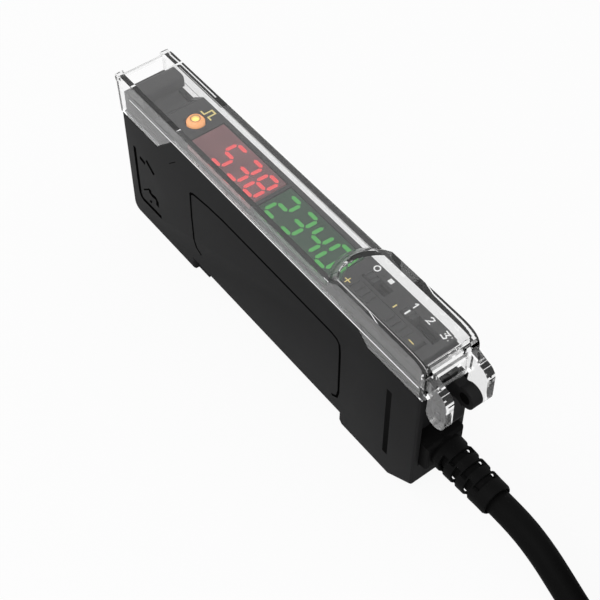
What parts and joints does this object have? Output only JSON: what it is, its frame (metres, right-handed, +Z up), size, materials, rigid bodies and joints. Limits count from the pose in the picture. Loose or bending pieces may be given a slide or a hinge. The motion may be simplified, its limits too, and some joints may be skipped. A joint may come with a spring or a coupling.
{
  "type": "fibre optic sensor amplifier",
  "caption": "Slim rail-mounted fibre optic amplifier: black case, hinged clear cover over two digit displays, switches and a fibre clamp lever, with a cable.",
  "frame": {"origin": "middle of the body's footprint, on the surface that its feet stand on", "axes": "+X from the fibre end to the cable, +Z up, -Y the visible flat side"},
  "size_m": [0.1993, 0.043, 0.0347],
  "materials": {
    "case_black": "fine matt moulded",
    "deck_black": "fine matt moulded",
    "clear_plastic": "clear polycarbonate",
    "red_window": "tinted gloss",
    "green_window": "tinted gloss",
    "red_display": "moulded module",
    "green_display": "moulded module",
    "amber_lens": "gloss",
    "lamp_white": "gloss",
    "key_black": "satin",
    "steel": "plated",
    "guide_white": "moulded",
    "chip_black": "moulded",
    "soft_black": "matt soft moulding",
    "gland_black": "matt soft moulding",
    "board_green": "solder mask",
    "cable_black": "extruded jacket",
    "brown_wire": "extruded jacket",
    "blue_wire": "extruded jacket",
    "black_wire": "extruded jacket",
    "white_wire": "extruded jacket"
  },
  "bodies": {
    "housing": {"case_shell": "case_black", "side_panel": "case_black", "top_deck": "deck_black", "red_window": "red_window", "green_window": "green_window", "red_display": "red_display", "green_display": "green_display", "output_lens": "amber_lens", "indicator_led": "lamp_white", "lever_pin": "steel", "fibre_block": "chip_black", "emitter_port_seal": "soft_black", "receiver_port_seal": "soft_black", "emitter_led": "lamp_white", "receiver_photodiode": "chip_black", "receiver_shield": "steel", "output_switch_body": "chip_black", "mode_switch_body": "chip_black", "plus_key_switch": "steel", "minus_key_switch": "steel", "set_key_switch": "steel", "display_board": "board_green", "main_board": "board_green", "board_connector": "guide_white", "processor": "chip_black", "voltage_regulator": "chip_black", "output_stage": "chip_black", "smoothing_capacitor": "steel", "cable_gland": "gland_black", "wire_brown": "brown_wire", "wire_blue": "blue_wire", "wire_black": "black_wire", "wire_white": "white_wire", "cable": "cable_black", "cable_hank": "cable_black", "lead_brown": "brown_wire", "lead_blue": "blue_wire", "lead_black": "black_wire", "lead_white": "white_wire"},
    "cover": {"clear_cover": "clear_plastic"},
    "lever": {"clamp_lever": "key_black"},
    "jaw": {"clamp_jaw": "guide_white"},
    "output_slider": {"output_knob": "key_black"},
    "mode_slider": {"mode_knob": "key_black"},
    "key_carrier": {"rocker_carrier": "key_black"},
    "key": {"set_rocker": "key_black"}
  },
  "joints": [
    {"name": "cover_hinge", "type": "hinge", "parent": "housing", "child": "cover", "pos_m": [0.03665, 0, 0.0253], "axis": [0, 1, 0], "range_deg": [0, 110]},
    {"name": "lever_hinge", "type": "hinge", "parent": "housing", "child": "lever", "pos_m": [-0.04125, 0, 0.0172], "axis": [0, -1, 0], "range_deg": [0, 8]},
    {"name": "jaw_slide", "type": "slide", "parent": "housing", "child": "jaw", "axis": [0, 0, 1], "range_m": [0, 0.0006], "stiffness_N_per_m": 0.01, "springref_m": 0.0423},
    {"name": "output_switch", "type": "slide", "parent": "housing", "child": "output_slider", "axis": [1, 0, 0], "range_m": [0, 0.0024]},
    {"name": "mode_switch", "type": "slide", "parent": "housing", "child": "mode_slider", "axis": [1, 0, 0], "range_m": [0, 0.0043]},
    {"name": "set_press", "type": "slide", "parent": "housing", "child": "key_carrier", "axis": [0, 0, -1], "range_m": [0, 0.0003], "stiffness_N_per_m": 300},
    {"name": "rocker_tilt", "type": "hinge", "parent": "key_carrier", "child": "key", "pos_m": [0.02025, -0.00195, 0.02975], "axis": [0, 1, 0], "range_deg": [-2.5, 2.5], "stiffness_Nm_per_rad": 0.02}
  ],
  "couplings": [
    {"joint": "jaw_slide", "follows": "lever_hinge", "m_per_rad": 0.0042929}
  ]
}
